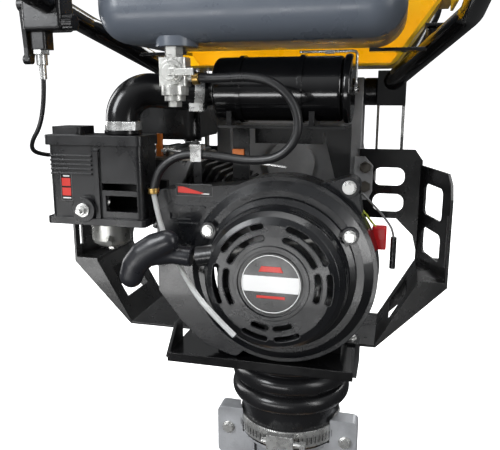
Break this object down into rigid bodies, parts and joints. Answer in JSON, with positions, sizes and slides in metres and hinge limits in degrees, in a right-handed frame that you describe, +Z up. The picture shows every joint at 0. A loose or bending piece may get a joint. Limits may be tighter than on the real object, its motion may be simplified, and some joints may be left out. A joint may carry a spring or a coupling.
{
  "type": "jumping jack rammer",
  "caption": "Walk-behind upright soil rammer: petrol engine, crank gear and sprung ram in a rubber bellows, laminated shoe, tube handle, tank and throttle.",
  "frame": {"origin": "centre of the shoe's sole on the ground, where the leg axis meets it", "axes": "+Z up, +Y forward (away from the operator, the way the leg leans), +X to the operator's right"},
  "size_m": [0.492, 0.4885, 1.074],
  "materials": {
    "black_paint": "gloss",
    "yellow_paint": "gloss",
    "cast_grey": "as cast",
    "engine_black": "satin",
    "bright_zinc": "zinc plated",
    "steel": "machined",
    "rubber": "satin",
    "plastic_black": "satin",
    "tank_plastic": "satin",
    "fan": "as cast",
    "badge": "gloss",
    "red_plastic": "gloss",
    "clear_hose": "translucent",
    "laminate": "oiled laminate"
  },
  "bodies": {
    "foot": {"leg_casting": "cast_grey", "leg_bolts": "bright_zinc", "shoe_body": "laminate", "sole_plate": "steel", "bellows_clamp": "bright_zinc", "ram_springs": "steel"},
    "upper": {"crankcase": "cast_grey", "crankcase_cover": "cast_grey", "machine_bolts": "bright_zinc", "guide_cylinder": "cast_grey", "bellows": "rubber", "worm_clamps": "bright_zinc", "engine_block": "engine_black", "cylinder_head": "cast_grey", "valve_cover": "engine_black", "engine_screws": "bright_zinc", "spark_plug": "plastic_black", "blower_shroud": "black_paint", "recoil_housing": "black_paint", "badge": "badge", "carburettor": "cast_grey", "float_bowl": "bright_zinc", "stop_connector": "red_plastic", "air_box": "plastic_black", "air_box_lid": "plastic_black", "intake_elbow": "rubber", "air_canister": "black_paint", "canister_cap": "black_paint", "canister_tray": "black_paint", "muffler": "black_paint", "base_plate": "black_paint", "guard_left": "black_paint", "guard_right": "black_paint", "fuel_hose": "rubber", "throttle_cable": "rubber", "drain_tube": "clear_hose"},
    "handle": {"handle_frame": "black_paint", "rubber_mounts": "rubber", "hood": "yellow_paint", "fuel_tank": "tank_plastic", "fuel_valve": "cast_grey", "throttle_housing": "plastic_black", "hand_grip": "rubber"},
    "crank": {"crankshaft": "steel", "flywheel_fan": "fan", "clutch_shoes": "steel"},
    "drum": {"clutch_drum": "steel"},
    "gear": {"crank_gear": "steel"},
    "conrod": {"connecting_rod": "steel"},
    "piston": {"piston_rod": "steel"},
    "pulley": {"recoil_pulley": "plastic_black"},
    "starter": {"starter_handle": "plastic_black"},
    "choke": {"choke_lever": "plastic_black"},
    "governor": {"governor_arm": "bright_zinc"},
    "latch": {"wire_latch": "bright_zinc"},
    "tank_cap": {"fuel_cap": "plastic_black"},
    "valve_lever": {"fuel_lever": "plastic_black"},
    "throttle": {"throttle_lever": "plastic_black"},
    "knob": {"friction_knob": "plastic_black"},
    "roller": {"transport_roller": "plastic_black"}
  },
  "joints": [
    {"name": "ram_travel", "type": "slide", "parent": "foot", "child": "upper", "axis": [0, 0.1908, 0.9816], "range_m": [-0.035, 0.035], "stiffness_N_per_m": 30000, "springref_m": 0.0192, "deforming": ["bellows", "ram_springs"]},
    {"name": "crank_throw", "type": "hinge", "parent": "upper", "child": "gear", "pos_m": [0, 0.13261, 0.68223], "axis": [0, 0.9816, -0.1908], "range_deg": [-20, 20], "deforming": ["ram_springs"]},
    {"name": "piston_travel", "type": "slide", "parent": "upper", "child": "piston", "axis": [0, 0.1908, 0.9816], "range_m": [-0.013, 0.013]},
    {"name": "big_end", "type": "hinge", "parent": "gear", "child": "conrod", "pos_m": [-0.035, 0.13261, 0.68223], "axis": [0, 0.9816, -0.1908], "range_deg": [-21, 21]},
    {"name": "pinion_spin", "type": "hinge", "parent": "upper", "child": "drum", "pos_m": [0.028, 0.11449, 0.58898], "axis": [0, 0.9816, -0.1908], "range_deg": [-80, 80]},
    {"name": "engine_spin", "type": "hinge", "parent": "upper", "child": "crank", "pos_m": [0.028, -0.08184, 0.62714], "axis": [0, 0.9816, -0.1908], "continuous": true},
    {"name": "handle_sway", "type": "hinge", "parent": "upper", "child": "handle", "pos_m": [0, 0.11262, 0.78901], "axis": [1, 0, 0], "range_deg": [-1.5, 1.5], "stiffness_Nm_per_rad": 3000, "deforming": ["fuel_hose", "throttle_cable"]},
    {"name": "starter_pull", "type": "slide", "parent": "upper", "child": "starter", "axis": [-0.9805, -0.0487, -0.1905], "range_m": [0, 0.1]},
    {"name": "starter_pulley", "type": "hinge", "parent": "upper", "child": "pulley", "pos_m": [0.028, -0.15448, 0.64126], "axis": [0, 0.9816, -0.1908], "range_deg": [-165, 1]},
    {"name": "choke", "type": "hinge", "parent": "upper", "child": "choke", "pos_m": [-0.199, -0.06355, 0.72647], "axis": [0, 0.1908, 0.9816], "range_deg": [-60, 0]},
    {"name": "governor", "type": "hinge", "parent": "upper", "child": "governor", "pos_m": [-0.118, -0.04975, 0.75028], "axis": [0, 0.1908, 0.9816], "range_deg": [-3, 3]},
    {"name": "wire_catch", "type": "hinge", "parent": "upper", "child": "latch", "pos_m": [0.1, -0.03934, 0.81956], "axis": [1, 0, 0], "range_deg": [0, 60]},
    {"name": "fuel_cap_turn", "type": "hinge", "parent": "handle", "child": "tank_cap", "pos_m": [0.06, -0.00647, 1.01488], "axis": [0, 0.1908, 0.9816], "range_deg": [0, 90]},
    {"name": "fuel_tap", "type": "hinge", "parent": "handle", "child": "valve_lever", "pos_m": [-0.082, -0.11776, 0.85111], "axis": [0, 0.9816, -0.1908], "range_deg": [0, 90]},
    {"name": "throttle", "type": "hinge", "parent": "handle", "child": "throttle", "pos_m": [-0.246, -0.10225, 0.92042], "axis": [1, 0, 0], "range_deg": [0, 40]},
    {"name": "friction_knob_turn", "type": "hinge", "parent": "handle", "child": "knob", "pos_m": [-0.19, -0.11, 0.90155], "axis": [1, 0, 0], "range_deg": [-90, 90]},
    {"name": "roller_spin", "type": "hinge", "parent": "handle", "child": "roller", "pos_m": [0, 0.26083, 0.94357], "axis": [1, 0, 0], "continuous": true}
  ],
  "couplings": [
    {"joint": "piston_travel", "follows": "crank_throw", "m_per_rad": 0.035},
    {"joint": "big_end", "follows": "crank_throw", "ratio": -1},
    {"joint": "pinion_spin", "follows": "crank_throw", "ratio": -3.9375},
    {"joint": "starter_pulley", "follows": "starter_pull", "rad_per_m": -27.8}
  ]
}
